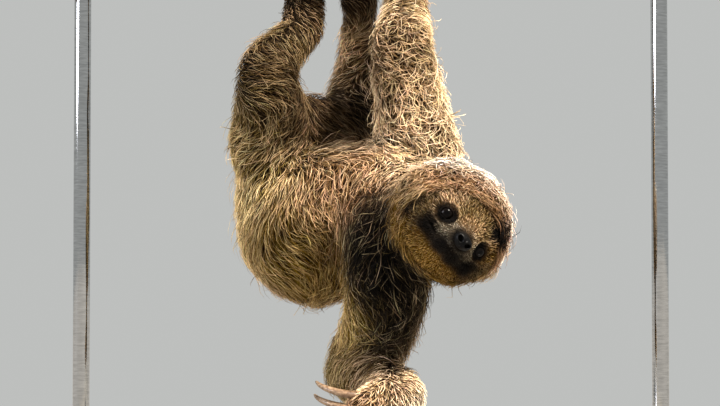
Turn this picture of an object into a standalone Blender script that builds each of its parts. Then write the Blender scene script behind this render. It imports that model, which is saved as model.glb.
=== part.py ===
"""Young three-toed sloth hanging by both feet and its right hand from a cut branch on a stand.

Everything is in metres, +Z up, and the flat underside of the stand's base is centred on the
origin. The flesh is modelled whole, out to the tips of the coat: balls strung along the bones,
blended into one surface. Thin cuts at the joints then part it into the named pieces of the body.
"""

import math

import bmesh
import bpy
from mathutils import Matrix, Vector

MM = 0.001
GAP = 0.3 * MM  # clearance left between neighbouring pieces

# Stand: a plain flat base and two rods that hold the branch near its ends.
BASE_SIZE = Vector((500, 300, 18)) * MM
BASE_EDGE = 2 * MM
ROD_RADIUS = 6 * MM
ROD_SIDES = 20
ROD_SOCKET = 8 * MM  # how far a rod goes down into the base
ROD_IN_BRANCH = 7 * MM  # and up into the branch
ROD_AT = 205 * MM  # distance of each rod from the middle

# Perch: a cut branch that rises a little towards the sloth's head end.
BRANCH_AT = Vector((0, 30, 400)) * MM
BRANCH_RISE = 0.12  # height gained per unit of width
BRANCH_LENGTH = 470 * MM
BRANCH_RADIUS = 13 * MM
BRANCH_TAPER = 0.08  # share of the radius lost from one end to the other
BRANCH_RINGS, BRANCH_SIDES = 9, 14

# Joints of the skeleton, in millimetres. The sloth's left side is the nearer one.
JOINTS = {
    "rump": (-60, 82, 220),
    "pelvis": (-48, 58, 221),
    "loin": (-40, 32, 191),
    "ribs": (-15, 13, 199),
    "chest": (14, -10, 196),
    "nape": (36, -44, 196),
    "tail_tip": (-86, 124, 206),
    "hip_left": (-69, 40, 246),
    "knee_left": (-74, 4, 303),
    "ankle_left": (-49, 44, 334),
    "hip_right": (-18, 76, 252),
    "knee_right": (-9, 104, 316),
    "ankle_right": (-8, 66, 350),
    "groin_left": (-52, 48, 268),
    "groin_right": (-31, 68, 270),
    "shoulder_right": (36, 12, 222),
    "elbow_right": (22, -10, 314),
    "wrist_right": (25, 44, 358),
    "shoulder_left": (14, -36, 184),
    "upper_arm_left": (12, -30, 150),
    "lower_arm_left": (4, -14, 117),
    "elbow_left": (-13, 5, 93),
    "wrist_left": (17, -70, 72),
    "knuckles_left": (-6, -88, 65),
}

# Each run of flesh, as the joints it passes and the coat's radius there in millimetres. A name
# with a + between two joints is the point halfway between them.
FLESH = (
    (("rump", 40), ("pelvis", 52), ("loin", 56), ("ribs", 55), ("chest", 44), ("nape", 34)),
    (("pelvis", 30), ("rump", 20), ("tail_tip", 8)),
    (("pelvis", 30), ("groin_left", 23), ("groin_right", 22)),
    (("pelvis", 30), ("hip_left", 33), ("hip_left+knee_left", 29), ("knee_left", 22),
     ("knee_left+ankle_left", 19), ("ankle_left", 18)),
    (("pelvis", 30), ("hip_right", 30), ("hip_right+knee_right", 24), ("knee_right", 19),
     ("knee_right+ankle_right", 16.5), ("ankle_right", 15.5)),
    (("chest", 34), ("shoulder_right", 35), ("shoulder_right+elbow_right", 30),
     ("elbow_right", 25), ("elbow_right+wrist_right", 21), ("wrist_right", 18)),
    (("chest", 34), ("shoulder_left", 36), ("upper_arm_left", 32), ("lower_arm_left", 29),
     ("elbow_left", 23), ("elbow_left+wrist_left", 23), ("wrist_left", 22),
     ("knuckles_left", 15)),
)
# What grips the branch: its joint, its place along the branch and its radii from joint to toes.
GRIPS = {
    "foot_left": ("ankle_left", -45, (18, 14.5, 10.5)),
    "foot_right": ("ankle_right", -11, (16, 13.5, 10.5)),
    "hand_right": ("wrist_right", 33, (17, 14, 11)),
}
PALM_SINK = 1.5 * MM  # how far a gripping palm would press into the branch
PALM_DROP, KNUCKLE_RISE = 14 * MM, 1 * MM  # its heel and knuckles below and above the middle
BALL_SPACING = 4 * MM
BLEND_VOXEL = 3.2 * MM
BLEND_SMOOTHING = 8
FLESH_SHARE = 0.038  # share of the blended surface's faces that is kept

# Thin cuts that part the body: centre and radius in millimetres, and the way the cut faces.
CUTS = (
    ((-20, 18, 198), (0.78, -0.63, 0.03), 78),  # chest from hips
    ((-81, 116, 209), (-0.51, 0.82, -0.27), 20),  # tail
    ((-70, 37, 252), (-0.59, -0.49, 0.64), 54),  # left thigh
    ((-72, 10, 303), (0.21, 0.14, 0.97), 35),  # left knee
    ((-51, 44, 333), (0.29, 0.52, 0.80), 25),  # left ankle
    ((-17, 77, 267), (0.50, 0.35, 0.79), 49),  # right thigh
    ((-9, 104, 316), (0.08, -0.24, 0.97), 31),  # right knee
    ((-8, 66, 350), (-0.05, -0.12, 0.99), 24),  # right ankle
    ((36, 10, 232), (0.59, 0.0, 0.81), 52),  # right shoulder
    ((21, -8, 314), (-0.05, 0.34, 0.94), 38),  # right elbow
    ((25, 45, 358), (0.12, 0.55, 0.83), 25),  # right wrist
    ((6, -22, 129), (-0.2, 0.1, 0.97), 50),  # left upper arm
    ((0, -8, 94), (0.13, -0.36, -0.92), 56),  # left elbow
    ((15, -70, 70), (-0.28, -0.94, -0.2), 39),  # left wrist
)
DISC_SIDES = 18
NECK_REACH = 13 * MM  # how far the neck's collar reaches back from the head

# Where the middle of each part of the body lies, in millimetres.
PARTS = {
    "trunk_chest": (12, -11, 187),
    "trunk_hips": (-48, 58, 220),
    "neck": (36, -42, 193),
    "tail": (-84, 119, 208),
    "upper_arm_right": (34, 0, 264),
    "forearm_right": (23, 14, 335),
    "hand_right": (31, 48, 389),
    "thigh_right": (-11, 92, 287),
    "shank_right": (-9, 86, 332),
    "foot_right": (-11, 54, 384),
    "thigh_left": (-76, 18, 273),
    "shank_left": (-65, 22, 317),
    "foot_left": (-47, 48, 375),
    "upper_arm_left": (0, -11, 111),
    "forearm_left": (6, -34, 82),
    "hand_left": (-2, -84, 68),
}

# Head: an ellipsoid with a short muzzle. Its own frame is forward, left and up.
HEAD_AT = Vector((53.6, -72, 191.8)) * MM
HEAD_HALF = Vector((41, 45.5, 41.8)) * MM
HEAD_ROLL, HEAD_YAW, HEAD_PITCH = 49.0, 19.0, 12.0  # degrees
HEAD_GRID = (28, 20)
EYE_AT = Vector((31.8, 16.5, -7.4)) * MM
EYE_RADIUS = 5.6 * MM
NOSE_AT = Vector((47.5, 0, -15.6)) * MM
NOSE_HALF = Vector((4.6, 6.8, 4.8)) * MM
NOSE_NARROWING = 0.18
EAR_AT = Vector((2, 44.5, -4)) * MM
EAR_HALF = Vector((6.5, 2.6, 8)) * MM
# What rises from the head's ellipsoid, or sinks in: height, direction, width in degrees, bluntness.
MUZZLE = (9.5 * MM, (1, 0, -0.4), 19, 3)
MUZZLE_NARROWING = 1.25
CHIN = (1.5 * MM, (1, 0, -0.75), 22, 2)
BROW = (1.2 * MM, (1, 0, 0.25), 17, 2)
CHEEK = (1.4 * MM, (0.75, 0.75, -0.62), 24, 2)
EYE_HOLLOW = (-2.6 * MM, EYE_AT, 10.5, 2)

# Claws: three long hooks on each foot and hand.
FINGERS = ("outer", "middle", "inner")
CLAW_SPACING = 9.5 * MM
CLAW_ROOT = Vector((3.0, 4.0)) * MM  # half width and half depth where the claw leaves the fur
CLAW_TIP = 1.0 * MM
CLAW_SIDES, CLAW_STEPS = 7, 7
GRIP_FROM, GRIP_TO = -28.0, 205.0  # degrees round the branch, from its far side over the top
GRIP_SLACK, GRIP_CLOSING = 1.2 * MM, 1.6 * MM  # air under the root, and how much the tip closes
FREE_CLAW_AHEAD = Vector((-0.93, -0.36, 0.05)).normalized()
FREE_CLAW_BEND = Vector((-0.25, 0.93, 0.28)).normalized()
FREE_CLAW_STACK = Vector((-0.12, 0.1, -1)).normalized() * 9 * MM
FREE_CLAW_RADIUS, FREE_CLAW_TURN = 27 * MM, 96.0


def joint(name):
    """A joint's place, or the point halfway between two joints."""
    ends = [Vector(JOINTS[each]) * MM for each in name.split("+")]
    return ends[0].lerp(ends[-1], 0.5)


def branch_axes():
    """Along the branch, away from the viewer and up from it."""
    along = Vector((1, 0, BRANCH_RISE)).normalized()
    away = Vector((0, 1, 0))
    return along, away, along.cross(away)


def branch_point(x):
    return BRANCH_AT + Vector((x, 0, BRANCH_RISE * x))


def material(name, colour, roughness, metallic=0.0):
    made = bpy.data.materials.new(name)
    made.use_nodes = True
    shader = made.node_tree.nodes["Principled BSDF"]
    shader.inputs["Base Color"].default_value = (*colour, 1)
    shader.inputs["Roughness"].default_value = roughness
    shader.inputs["Metallic"].default_value = metallic
    return made


def add_object(name, bm, look=None):
    """Turns a finished bmesh into an object of the scene."""
    mesh = bpy.data.meshes.new(name)
    bm.to_mesh(mesh)
    bm.free()
    made = bpy.data.objects.new(name, mesh)
    bpy.context.scene.collection.objects.link(made)
    if look:
        mesh.materials.append(look)
    return made


def circle(centre, first, second, radius, sides, other_radius=None):
    """Points of a circle, or of an ellipse if a second radius is given."""
    turns = [2 * math.pi * k / sides for k in range(sides)]
    other_radius = other_radius or radius
    return [
        centre + first * (radius * math.cos(a)) + second * (other_radius * math.sin(a))
        for a in turns
    ]


def tube(name, rings, look=None, tip=None):
    """A closed surface through rings of points, with flat ends or a pointed last one."""
    bm = bmesh.new()
    loops = [[bm.verts.new(point) for point in ring] for ring in rings]
    sides = len(loops[0])
    for lower, upper in zip(loops, loops[1:]):
        for i in range(sides):
            j = (i + 1) % sides
            bm.faces.new((lower[i], lower[j], upper[j], upper[i]))
    bm.faces.new(loops[0][::-1])
    if tip is None:
        bm.faces.new(loops[-1])
    else:
        point = bm.verts.new(tip)
        for i in range(sides):
            bm.faces.new((loops[-1][i], loops[-1][(i + 1) % sides], point))
    bmesh.ops.recalc_face_normals(bm, faces=bm.faces)
    return add_object(name, bm, look)


def on_smooth_line(values, share):
    """The value at a share of the way along a smooth line through the values."""
    last = len(values) - 1
    place = share * last
    i = min(int(place), last - 1)
    f = place - i
    before, start, end, after = (values[min(max(i + k, 0), last)] for k in (-1, 0, 1, 2))
    return (
        start * 2
        + (end - before) * f
        + (before * 2 - start * 5 + end * 4 - after) * f**2
        + (start * 3 - before - end * 3 + after) * f**3
    ) * 0.5


def limb(points, radii):
    """Balls strung closely along a smooth line through the points."""
    length = sum((b - a).length for a, b in zip(points, points[1:]))
    count = math.ceil(length / BALL_SPACING)
    bm = bmesh.new()
    for i in range(count + 1):
        place = Matrix.Translation(on_smooth_line(points, i / count))
        radius = on_smooth_line(radii, i / count)
        bmesh.ops.create_icosphere(bm, subdivisions=2, radius=radius, matrix=place)
    return add_object("limb", bm)


def gripping_limb(wrist, x, radii):
    """The back of a hand or foot, from its wrist or ankle up the far side of the branch."""
    reach = BRANCH_RADIUS - PALM_SINK
    heel = branch_point(x) + Vector((0, reach + radii[1], -PALM_DROP))
    knuckles = branch_point(x) + Vector((0, reach - PALM_SINK + radii[2], KNUCKLE_RISE))
    return limb([joint(wrist), heel, knuckles], radii)


def apply_modifiers(target):
    graph = bpy.context.evaluated_depsgraph_get()
    target.data = bpy.data.meshes.new_from_object(target.evaluated_get(graph))
    target.modifiers.clear()


def make_flesh(look):
    """The whole body but the head, blended into one surface."""
    limbs = []
    for run in FLESH:
        limbs.append(limb([joint(name) for name, _ in run], [r * MM for _, r in run]))
    for wrist, x, radii in GRIPS.values():
        limbs.append(gripping_limb(wrist, x * MM, [r * MM for r in radii]))
    bpy.ops.object.select_all(action="DESELECT")
    for each in limbs:
        each.select_set(True)
    flesh = limbs[0]
    bpy.context.view_layer.objects.active = flesh
    bpy.ops.object.join()

    blend = flesh.modifiers.new("blend", "REMESH")
    blend.mode = "VOXEL"
    blend.voxel_size = BLEND_VOXEL
    smooth = flesh.modifiers.new("smooth", "SMOOTH")
    smooth.factor, smooth.iterations = 0.5, BLEND_SMOOTHING
    lighten = flesh.modifiers.new("lighten", "DECIMATE")
    lighten.ratio = FLESH_SHARE
    apply_modifiers(flesh)
    flesh.data.materials.clear()
    flesh.data.materials.append(look)
    return flesh


def cut(target, cutter):
    """Takes the cutter's volume out of the target."""
    step = target.modifiers.new("cut", "BOOLEAN")
    step.operation, step.solver, step.object = "DIFFERENCE", "EXACT", cutter
    apply_modifiers(target)
    bpy.data.objects.remove(cutter)


def grown(source):
    """A copy of a piece that is one gap larger on every side."""
    bm = bmesh.new()
    bm.from_mesh(source.data)
    bm.normal_update()
    for vertex, normal in [(v, v.normal.copy()) for v in bm.verts]:
        vertex.co += normal * GAP
    return add_object("grown", bm)


def disc(centre, faces, radius):
    """A round blade one gap thick."""
    bm = bmesh.new()
    bmesh.ops.create_cone(
        bm, cap_ends=True, segments=DISC_SIDES, radius1=radius, radius2=radius, depth=GAP
    )
    bm.transform(Matrix.Translation(centre) @ faces.to_track_quat("Z", "Y").to_matrix().to_4x4())
    return add_object("disc", bm)


def shell(centre, radius):
    """A hollow ball whose wall is one gap thick."""
    bm = bmesh.new()
    place = Matrix.Translation(centre)
    bmesh.ops.create_icosphere(bm, subdivisions=3, radius=radius, matrix=place)
    bmesh.ops.reverse_faces(bm, faces=bm.faces)
    bmesh.ops.create_icosphere(bm, subdivisions=3, radius=radius + GAP, matrix=place)
    return add_object("shell", bm)


def part_flesh(flesh):
    """Cuts the body at its joints, and names each piece by the part whose middle is nearest."""
    for centre, faces, radius in CUTS:
        cut(flesh, disc(Vector(centre) * MM, Vector(faces), radius * MM))
    cut(flesh, shell(HEAD_AT, HEAD_HALF.y + NECK_REACH))
    bpy.ops.object.select_all(action="DESELECT")
    flesh.select_set(True)
    bpy.context.view_layer.objects.active = flesh
    bpy.ops.object.mode_set(mode="EDIT")
    bpy.ops.mesh.select_all(action="SELECT")
    bpy.ops.mesh.separate(type="LOOSE")
    bpy.ops.object.mode_set(mode="OBJECT")
    for piece in list(bpy.context.selected_objects):
        corners = [vertex.co for vertex in piece.data.vertices]
        middle = sum(corners, Vector()) / len(corners)
        piece.name = min(PARTS, key=lambda part: (Vector(PARTS[part]) * MM - middle).length)


def head_axes():
    """Forward, left and up of the head."""
    roll, yaw, pitch = (math.radians(a) for a in (HEAD_ROLL, HEAD_YAW, HEAD_PITCH))
    forward, up = Vector((0, -1, 0)), Vector((math.sin(roll), 0, math.cos(roll)))
    left = up.cross(forward)
    turned = forward * math.cos(yaw) + left * math.sin(yaw)
    left = left * math.cos(yaw) - forward * math.sin(yaw)
    raised = turned * math.cos(pitch) + up * math.sin(pitch)
    up = up * math.cos(pitch) - turned * math.sin(pitch)
    return raised, left, up


def head_place(point):
    """A point of the head's own frame in the model's."""
    return HEAD_AT + sum((axis * d for axis, d in zip(head_axes(), point)), Vector())


def rise(direction, shape, side=1):
    """What one swelling or hollow adds to the head's radius in a direction, on the given side."""
    height, towards, width, bluntness = shape
    middle = Vector(towards) * Vector((1, side, 1))
    angle = math.degrees(direction.angle(middle))
    return height * math.exp(-((angle / width) ** bluntness))


def head_radius(direction):
    """How far the head's coat reaches from its centre in a direction of its own frame."""
    radius = 1 / Vector(d / half for d, half in zip(direction, HEAD_HALF)).length
    radius += rise(Vector((direction.x, direction.y * MUZZLE_NARROWING, direction.z)), MUZZLE)
    radius += rise(direction, CHIN) + rise(direction, BROW)
    for side in (-1, 1):
        radius += rise(direction, EYE_HOLLOW, side) + rise(direction, CHEEK, side)
    return radius


def make_head(look):
    bm = bmesh.new()
    bmesh.ops.create_uvsphere(bm, u_segments=HEAD_GRID[0], v_segments=HEAD_GRID[1], radius=1)
    bm.transform(Matrix.Rotation(math.radians(90), 4, "Y"))
    for vertex in bm.verts:
        direction = vertex.co.normalized()
        vertex.co = head_place(direction * head_radius(direction))
    return add_object("head", bm, look)


def inlay(head, name, centre, half, look, grid=(12, 8), narrowing=0.0):
    """An ellipsoid in the head's frame, narrowed towards its foot if asked, in a fitting socket."""
    for spare, label in ((GAP, "socket"), (0, name)):
        bm = bmesh.new()
        bmesh.ops.create_uvsphere(bm, u_segments=grid[0], v_segments=grid[1], radius=1)
        for vertex in bm.verts:
            x, y, z = vertex.co
            y *= 1 + narrowing * z
            sides = (x * (half.x + spare), y * (half.y + spare), z * (half.z + spare))
            vertex.co = head_place(centre + Vector(sides))
        if spare:
            cut(head, add_object(label, bm))
        else:
            add_object(label, bm, look)


def claw(name, points, side, look):
    """A hook along the points: deeper than wide, and tapering to its tip."""
    last = len(points) - 1
    rings = []
    for i, point in enumerate(points):
        along = (points[min(i + 1, last)] - points[max(i - 1, 0)]).normalized()
        share = (i / last) ** 2
        wide, deep = CLAW_ROOT * (1 - share) + Vector((CLAW_TIP, CLAW_TIP)) * share
        rings.append(circle(point, side, along.cross(side), wide, CLAW_SIDES, deep))
    tip = points[-1] + (points[-1] - points[-2]).normalized() * CLAW_TIP
    return tube(name, rings, look, tip)


def gripping_claws(limb_name, x, look):
    """Three hooks round the branch, from its far side over the top and down the near side."""
    along, away, up = branch_axes()
    made = []
    for k, finger in enumerate(FINGERS):
        centre = branch_point(x) + along * CLAW_SPACING * (k - 1)
        points = []
        for i in range(CLAW_STEPS + 1):
            share = i / CLAW_STEPS
            turn = math.radians(GRIP_FROM + (GRIP_TO - GRIP_FROM) * share)
            reach = BRANCH_RADIUS + CLAW_ROOT.y + GRIP_SLACK - GRIP_CLOSING * share**2
            points.append(centre + (away * math.cos(turn) + up * math.sin(turn)) * reach)
        made.append(claw(f"claw_{limb_name}_{finger}", points, along, look))
    return made


def free_claws(look):
    """Three hooks of the free hand, one below another and bent back towards the palm."""
    made = []
    for k, finger in enumerate(FINGERS):
        start = joint("knuckles_left") + FREE_CLAW_STACK * (k - 1)
        points = []
        for i in range(CLAW_STEPS + 1):
            turn = math.radians(FREE_CLAW_TURN) * i / CLAW_STEPS
            swing = FREE_CLAW_AHEAD * math.sin(turn) + FREE_CLAW_BEND * (1 - math.cos(turn))
            points.append(start + swing * FREE_CLAW_RADIUS)
        side = FREE_CLAW_AHEAD.cross(FREE_CLAW_BEND).normalized()
        made.append(claw(f"claw_hand_left_{finger}", points, side, look))
    return made


def make_branch(look):
    along, away, up = branch_axes()
    rings = []
    for i in range(BRANCH_RINGS):
        share = i / (BRANCH_RINGS - 1)
        radius = BRANCH_RADIUS * (1 + BRANCH_TAPER * (0.5 - share))
        centre = BRANCH_AT + along * BRANCH_LENGTH * (share - 0.5)
        rings.append(circle(centre, away, up, radius, BRANCH_SIDES))
    return tube("perch_branch", rings, look)


def make_base(look):
    bm = bmesh.new()
    bmesh.ops.create_cube(bm, size=1)
    bm.transform(Matrix.Translation((0, 0, BASE_SIZE.z / 2)) @ Matrix.Diagonal((*BASE_SIZE, 1)))
    bmesh.ops.bevel(bm, geom=bm.edges[:], offset=BASE_EDGE, segments=2, affect="EDGES")
    return add_object("stand_base", bm, look)


def make_rod(name, x, base, branch, look):
    """A rod between sockets in the base and in the underside of the branch."""
    low = BASE_SIZE.z - ROD_SOCKET
    high = branch_point(x).z - BRANCH_RADIUS + ROD_IN_BRANCH
    for spare, label in ((GAP, "base_socket"), (GAP, "branch_socket"), (0, name)):
        rings = [
            circle(Vector((x, BRANCH_AT.y, z)), Vector((1, 0, 0)), Vector((0, 1, 0)),
                   ROD_RADIUS + spare, ROD_SIDES)
            for z in (low - spare, high + spare)
        ]
        made = tube(label, rings, look)
        if spare:
            cut(base if label == "base_socket" else branch, made)


def main():
    for old in list(bpy.data.objects):
        bpy.data.objects.remove(old)
    coat = material("coat", (0.38, 0.29, 0.20), 0.9)
    horn = material("claw", (0.52, 0.44, 0.32), 0.45)
    nose_skin = material("nose", (0.02, 0.018, 0.016), 0.4)
    eye_look = material("eye", (0.03, 0.018, 0.01), 0.08)
    bark = material("bark", (0.22, 0.17, 0.12), 0.85)
    base_look = material("stand_base", (0.75, 0.73, 0.70), 0.5)
    rod_look = material("stand_rod", (0.6, 0.6, 0.6), 0.3, 1.0)

    base, branch = make_base(base_look), make_branch(bark)
    for name, x in (("stand_rod_left", -ROD_AT), ("stand_rod_right", ROD_AT)):
        make_rod(name, x, base, branch, rod_look)

    flesh, head = make_flesh(coat), make_head(coat)
    claws = free_claws(horn)
    for name, (_, x, _) in GRIPS.items():
        claws += gripping_claws(name, x * MM, horn)
    for neighbour in (head, branch, *claws):
        cut(flesh, grown(neighbour))

    inlay(head, "nose", NOSE_AT, NOSE_HALF, nose_skin, narrowing=NOSE_NARROWING)
    for name, side in (("left", 1), ("right", -1)):
        mirror = Vector((1, side, 1))
        inlay(head, f"eye_{name}", EYE_AT * mirror, Vector((EYE_RADIUS,) * 3), eye_look)
        inlay(head, f"ear_{name}", EAR_AT * mirror, EAR_HALF, coat, (12, 6))
    part_flesh(flesh)


main()
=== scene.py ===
"""Looks of the hanging three-toed sloth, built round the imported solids.

One skin stands for all the flesh and lies a coat's depth inside it. Over it lies the coat, as
closed strands that taper to a point and are combed along the skin. The pieces are in metres,
and the tables of places and measures are in millimetres where they say so.
"""

import math

import bmesh
import bpy
import numpy as np
from mathutils import Matrix, Vector
from mathutils.bvhtree import BVHTree


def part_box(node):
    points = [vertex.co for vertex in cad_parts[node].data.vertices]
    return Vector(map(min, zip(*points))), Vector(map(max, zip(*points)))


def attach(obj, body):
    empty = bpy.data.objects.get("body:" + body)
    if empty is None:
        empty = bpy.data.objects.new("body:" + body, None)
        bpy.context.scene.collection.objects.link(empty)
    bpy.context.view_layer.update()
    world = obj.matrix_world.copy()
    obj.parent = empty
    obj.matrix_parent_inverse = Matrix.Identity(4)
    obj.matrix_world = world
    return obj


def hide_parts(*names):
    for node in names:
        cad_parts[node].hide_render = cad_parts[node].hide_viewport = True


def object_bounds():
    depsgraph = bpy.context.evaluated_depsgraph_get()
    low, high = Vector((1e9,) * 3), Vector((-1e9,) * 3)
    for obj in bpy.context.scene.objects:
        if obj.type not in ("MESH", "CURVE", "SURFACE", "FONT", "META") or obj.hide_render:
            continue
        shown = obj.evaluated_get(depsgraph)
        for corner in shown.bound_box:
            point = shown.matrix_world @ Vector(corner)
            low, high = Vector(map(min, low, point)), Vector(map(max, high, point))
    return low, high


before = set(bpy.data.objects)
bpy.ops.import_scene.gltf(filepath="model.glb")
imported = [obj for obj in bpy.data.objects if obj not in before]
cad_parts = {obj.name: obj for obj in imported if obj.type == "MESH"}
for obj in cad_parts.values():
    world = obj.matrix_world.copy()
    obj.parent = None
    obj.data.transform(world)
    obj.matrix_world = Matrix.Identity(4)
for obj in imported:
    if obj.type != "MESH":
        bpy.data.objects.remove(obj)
CAD_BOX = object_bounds()

MM = 0.001
rng = np.random.default_rng(20)

# ---- places, read off the frame

LIMBS = [
    f"{part}_{side}"
    for part in ("upper_arm", "forearm", "hand", "thigh", "shank", "foot")
    for side in ("left", "right")
]
FLESH = ["head", "ear_left", "ear_right", "neck", "trunk_chest", "trunk_hips", "tail", *LIMBS]
CLAWS = [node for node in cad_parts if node.startswith("claw_")]


def middle(node):
    low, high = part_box(node)
    return (low + high) / 2


def unit(rows):
    """Rows of vectors, each made one long."""
    return rows / np.maximum(np.linalg.norm(rows, axis=-1, keepdims=True), 1e-9)


EYES = {side: middle(f"eye_{side}") for side in ("left", "right")}
EARS = {side: middle(f"ear_{side}") for side in ("left", "right")}
EYE_RADIUS = (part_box("eye_left")[1].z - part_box("eye_left")[0].z) / 2
NOSE = middle("nose")
NOSE_GROWN = 1.1  # the moist pad swells this much over the plain solid
EYE_DROP = math.radians(6.5)  # the line from the ears to the eyes dips this much below forward
HEAD_BACK, HEAD_UP = 2 * MM, 4 * MM  # the head's middle, seen from halfway between the ears

LEFT = (EYES["left"] - EYES["right"]).normalized()
between_ears = (EARS["left"] + EARS["right"]) / 2
to_eyes = ((EYES["left"] + EYES["right"]) / 2 - between_ears).normalized()
FORWARD = (Matrix.Rotation(-EYE_DROP, 3, LEFT) @ to_eyes).normalized()
UP = FORWARD.cross(LEFT).normalized()
HEAD_AXES = np.array([FORWARD, LEFT, UP])
HEAD_AT = between_ears - FORWARD * HEAD_BACK + UP * HEAD_UP


def in_head(points):
    """Points in the head's own frame: forward, left and up of its middle, in millimetres."""
    return (points - np.array(HEAD_AT)) @ HEAD_AXES.T / MM


# ---- small tools


def linear(code):
    """An sRGB hex value as linear red, green and blue."""
    parts = np.array([int(code[i : i + 2], 16) / 255 for i in (0, 2, 4)])
    return np.where(parts <= 0.04045, parts / 12.92, ((parts + 0.055) / 1.055) ** 2.4)


def smooth_step(low, high, values):
    share = np.clip((values - low) / (high - low), 0, 1)
    return share * share * (3 - 2 * share)


def read(items, key, width=3, kind=np.float32):
    """One value of every vertex, edge, face or corner of a mesh, as rows."""
    flat = np.empty(len(items) * width, kind)
    items.foreach_get(key, flat)
    return flat.reshape(-1, width)


def coordinates(mesh):
    return read(mesh.vertices, "co").astype(float)


def set_coordinates(mesh, points):
    mesh.vertices.foreach_set("co", points.astype(np.float32).ravel())
    mesh.update()


def vertex_normals(mesh):
    return read(mesh.vertex_normals, "vector").astype(float)


def triangles(mesh):
    mesh.calc_loop_triangles()
    return read(mesh.loop_triangles, "vertices", kind=np.int32)


def add_object(name, data):
    made = bpy.data.objects.new(name, data)
    bpy.context.scene.collection.objects.link(made)
    return made


def pick(*chosen):
    """Selects only these objects, and makes the last one active."""
    bpy.ops.object.select_all(action="DESELECT")
    for each in chosen:
        each.select_set(True)
    bpy.context.view_layer.objects.active = chosen[-1]


def bake_modifier(target, kind, **settings):
    """Adds a modifier with its settings and applies it."""
    step = target.modifiers.new(kind.lower(), kind)
    for key, value in settings.items():
        setattr(step, key, value)
    pick(target)
    bpy.ops.object.modifier_apply(modifier=step.name)


def start_from(primitive, **settings):
    """Adds a primitive at its size and place, and applies its transform."""
    bpy.ops.object.select_all(action="DESELECT")
    primitive(**settings)
    bpy.ops.object.transform_apply(location=True, rotation=True, scale=True)
    return bpy.context.object


def hand_over(piece, name, slot, look, *nodes):
    """Names a finished piece, gives it its material and puts it in the place of its nodes."""
    piece.name = piece.data.name = name
    piece.data.materials.clear()
    piece.data.materials.append(look)
    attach(piece, "root")
    if nodes:
        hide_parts(*nodes)


def select_faces(target, chosen):
    """Goes into edit mode with only the chosen faces selected."""
    pick(target)
    bpy.ops.object.mode_set(mode="EDIT")
    bpy.ops.mesh.select_mode(type="FACE")
    bpy.ops.mesh.select_all(action="DESELECT")
    bpy.ops.object.mode_set(mode="OBJECT")
    target.data.polygons.foreach_set("select", np.asarray(chosen, bool))
    bpy.ops.object.mode_set(mode="EDIT")


def node_copy(node, spare=0.0):
    """A merged copy of a CAD node, grown by spare along its normals."""
    bm = bmesh.new()
    bm.from_mesh(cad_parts[node].data)
    bmesh.ops.remove_doubles(bm, verts=bm.verts, dist=0.01 * MM)
    bm.normal_update()
    for vertex, normal in [(v, v.normal.copy()) for v in bm.verts]:
        vertex.co += normal * spare
    mesh = bpy.data.meshes.new(node + "_copy")
    bm.to_mesh(mesh)
    bm.free()
    return add_object(node + "_copy", mesh)


def set_attribute(mesh, name, kind, values):
    layer = mesh.attributes.new(name, kind, "POINT")
    key = "color" if kind == "FLOAT_COLOR" else "value"
    layer.data.foreach_set(key, values.astype(np.float32).ravel())


def set_marking_and_painted_light(mesh, colours):
    opaque = np.ones((len(colours), 1))
    set_attribute(mesh, "marking", "FLOAT_COLOR", np.hstack([colours, opaque]))


# ---- materials

MIX = {"data_type": "RGBA"}
MULTIPLY = {"data_type": "RGBA", "blend_type": "MULTIPLY"}
SCREEN = {"data_type": "RGBA", "blend_type": "SCREEN"}


class Look:
    """A material in the making."""

    def __init__(self, name):
        self.material = bpy.data.materials.new(name)
        self.material.use_nodes = True
        self.tree = self.material.node_tree
        self.place = self.add("TexCoord", "Object")

    def link(self, node, inputs):
        """Sets each input to a number or hex colour, or links it from another node's output."""
        for name, value in inputs.items():
            name = name.replace("_", " ")
            socket = next(each for each in node.inputs if each.name == name and each.enabled)
            if isinstance(value, bpy.types.NodeSocket):
                self.tree.links.new(value, socket)
            elif isinstance(value, str):
                socket.default_value = (*linear(value), 1)
            else:
                socket.default_value = value

    def add(self, kind, out, settings=None, **inputs):
        """Adds a node with its settings and links, and gives the output named.

        The setting "stops" gives a colour ramp's places, from 0 to 1, with their hex colours.
        Without a vector of its own, a texture follows the piece's own place.
        """
        node = self.tree.nodes.new("ShaderNode" + kind)
        for key, value in (settings or {}).items():
            if key != "stops":
                setattr(node, key, value)
                continue
            for _ in value[2:]:
                node.color_ramp.elements.new(0.5)
            for element, (at, code) in zip(node.color_ramp.elements, value):
                element.position = at
                element.color = (*linear(code), 1)
        if "Vector" in node.inputs:
            inputs = {"Vector": self.place, **inputs}
        self.link(node, inputs)
        return next(each for each in node.outputs if each.name == out and each.enabled)

    def finish(self, **inputs):
        self.link(self.tree.nodes["Principled BSDF"], inputs)
        return self.material


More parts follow.
